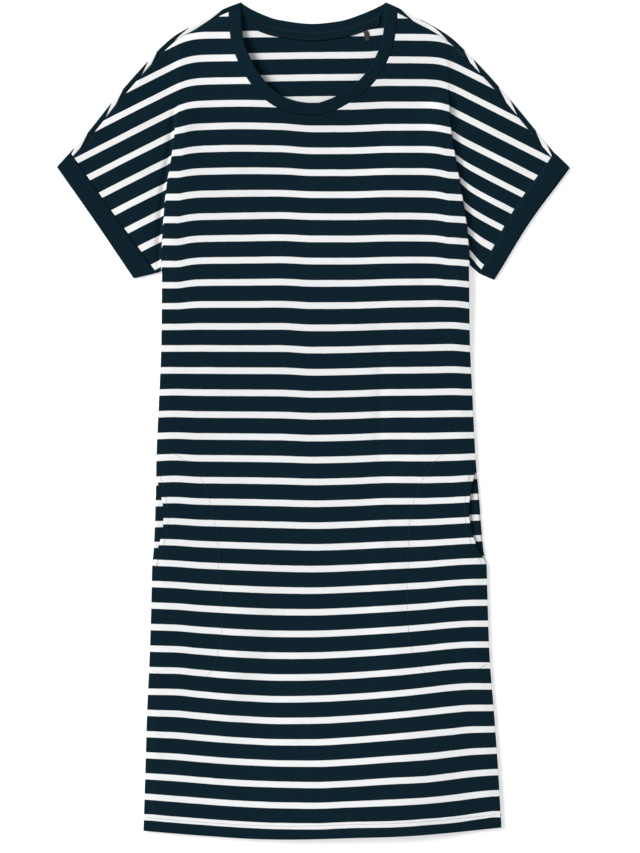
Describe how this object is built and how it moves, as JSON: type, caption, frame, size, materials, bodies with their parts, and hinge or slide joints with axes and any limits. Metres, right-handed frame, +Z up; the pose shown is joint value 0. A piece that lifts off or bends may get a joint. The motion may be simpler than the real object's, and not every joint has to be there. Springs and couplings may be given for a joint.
{
  "type": "striped nightshirt",
  "caption": "Striped jersey nightshirt laid flat, with short kimono sleeves, plain neckband and cuffs, side-seam pockets and a turned hem.",
  "frame": {"origin": "middle of the garment's outline, on the surface it lies on", "axes": "+Z up from the surface, +Y from the hem to the neck, +X to the right as the front is seen from above"},
  "size_m": [0.6138, 0.9994, 0.0075],
  "materials": {
    "striped_jersey": "matt cotton jersey, navy with narrow off-white stripes",
    "plain_jersey": "matt plain navy cotton jersey"
  },
  "bodies": {
    "root": {"back_panel": "striped_jersey", "front_panel": "striped_jersey", "pocket_left": "striped_jersey", "pocket_right": "striped_jersey", "neckband": "plain_jersey", "neck_tape": "plain_jersey", "neck_tab": "plain_jersey", "cuff_left": "plain_jersey", "cuff_right": "plain_jersey"}
  },
  "joints": []
}
